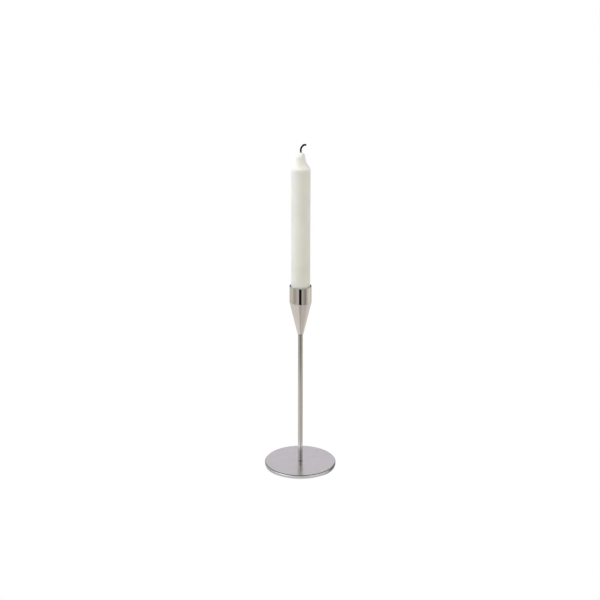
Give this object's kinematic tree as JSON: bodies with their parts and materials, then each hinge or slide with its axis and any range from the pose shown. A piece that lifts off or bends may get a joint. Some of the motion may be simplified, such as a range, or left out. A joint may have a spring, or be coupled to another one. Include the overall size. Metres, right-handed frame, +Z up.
{
  "type": "candlestick",
  "caption": "Slim steel candlestick: round disc base, thin rod stem and a turned cone with a polished cup that holds one straight candle.",
  "frame": {"origin": "centre of the resting face, on the underside of the felt pad and on the candlestick's axis", "axes": "+Z up along the candlestick's axis, -Y the front, +X the side that the hook of the wick points to"},
  "size_m": [0.0824, 0.0824, 0.3825],
  "materials": {
    "satin_steel": "satin",
    "polished_steel": "polished",
    "fastener_steel": "plain",
    "felt": "felt",
    "wax": "smooth wax",
    "charred_wick": "charred cotton braid"
  },
  "bodies": {
    "holder": {"base_plate": "satin_steel", "base_pad": "felt", "base_screw": "fastener_steel", "stem": "satin_steel", "stem_stud": "fastener_steel", "cone": "satin_steel", "cup_sleeve": "polished_steel"},
    "candle": {"candle_wax": "wax", "wick": "charred_wick"}
  },
  "joints": [
    {"name": "candle_lift", "type": "slide", "parent": "holder", "child": "candle", "axis": [0, 0, 1], "range_m": [0, 0.04]}
  ]
}
